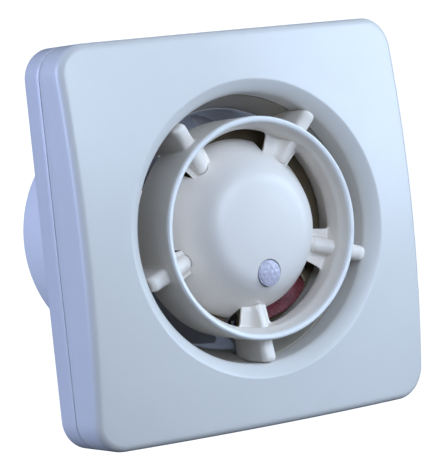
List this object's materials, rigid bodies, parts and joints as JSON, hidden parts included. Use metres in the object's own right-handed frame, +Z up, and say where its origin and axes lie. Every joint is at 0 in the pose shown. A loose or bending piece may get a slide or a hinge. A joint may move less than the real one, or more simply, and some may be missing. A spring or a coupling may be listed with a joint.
{
  "type": "bathroom extractor fan",
  "caption": "Square wall-mounted extractor fan with a bowed front cover, ribbed round air inlet, domed motor cap with a movement sensor, and a round duct spigot at the back.",
  "frame": {"origin": "duct axis where it crosses the wall plane, which is the rear housing's back face", "axes": "+Z up, +Y along the duct into the wall, front faces -Y, +X to the right as seen from the front"},
  "size_m": [0.155, 0.1068, 0.155],
  "materials": {
    "white_gloss": "glossy injection-moulded white",
    "white_inner": "semi-gloss moulded white",
    "lens_plastic": "frosted faceted lens",
    "circuit_board": "solder-masked laminate",
    "sensor_can": "plated can",
    "lamination_steel": "stacked laminations",
    "bobbin_nylon": "moulded nylon",
    "copper_wire": "enamelled copper wire",
    "red_tape": "varnished speckled tape",
    "plated_steel": "zinc plated",
    "sintered_bronze": "oil-filled sintered bronze",
    "grey_plastic": "moulded pale grey",
    "terminal_nylon": "moulded nylon",
    "terminal_brass": "plated brass",
    "black_plastic": "moulded black",
    "capacitor_yellow": "moulded box",
    "capacitor_sleeve": "shrink sleeve",
    "trimmer_blue": "moulded body",
    "rubber_black": "soft rubber",
    "brown_fibre": "pressed insulating fibre",
    "lead_brown": "insulated wire",
    "lead_blue": "insulated wire",
    "lead_grey": "insulated wire"
  },
  "bodies": {
    "housing": {"rear_housing": "white_gloss", "motor_carrier": "white_inner", "dome_cap": "white_inner", "pir_lens": "lens_plastic", "pir_board": "circuit_board", "pir_sensor": "sensor_can", "stator_stack": "lamination_steel", "insulating_board": "brown_fibre", "coil_bobbin": "bobbin_nylon", "coil_winding": "copper_wire", "winding_tape": "red_tape", "front_bearing_bracket": "plated_steel", "rear_bearing_bracket": "plated_steel", "front_bearing_bush": "sintered_bronze", "rear_bearing_bush": "sintered_bronze", "motor_screw_1": "plated_steel", "motor_screw_2": "plated_steel", "control_board": "circuit_board", "terminal_block": "terminal_nylon", "terminal_screw_1": "terminal_brass", "terminal_screw_2": "terminal_brass", "terminal_screw_3": "terminal_brass", "relay": "black_plastic", "suppression_capacitor": "capacitor_yellow", "electrolytic_capacitor": "capacitor_sleeve", "timer_base": "trimmer_blue", "cable_grommet": "rubber_black", "cable_clamp": "terminal_nylon", "clamp_screw_1": "plated_steel", "clamp_screw_2": "plated_steel", "board_screw_1": "plated_steel", "board_screw_2": "plated_steel", "carrier_screw_1": "plated_steel", "carrier_screw_2": "plated_steel", "carrier_screw_3": "plated_steel", "carrier_screw_4": "plated_steel", "motor_lead_1": "lead_brown", "motor_lead_2": "lead_blue", "sensor_lead": "lead_grey"},
    "cover": {"front_cover": "white_gloss"},
    "rotor_set": {"impeller": "grey_plastic", "impeller_clip": "plated_steel", "rotor": "lamination_steel", "motor_shaft": "plated_steel"},
    "timer_dial": {"timer_adjuster": "terminal_nylon"}
  },
  "joints": [
    {"name": "impeller_spin", "type": "hinge", "parent": "housing", "child": "rotor_set", "pos_m": [0, 0, 0], "axis": [0, 1, 0], "continuous": true},
    {"name": "cover_slide", "type": "slide", "parent": "housing", "child": "cover", "axis": [0, -1, 0], "range_m": [0, 0.05]},
    {"name": "timer_turn", "type": "hinge", "parent": "housing", "child": "timer_dial", "pos_m": [0.041, -0.0138, -0.0605], "axis": [0, -1, 0], "range_deg": [-135, 135]}
  ]
}
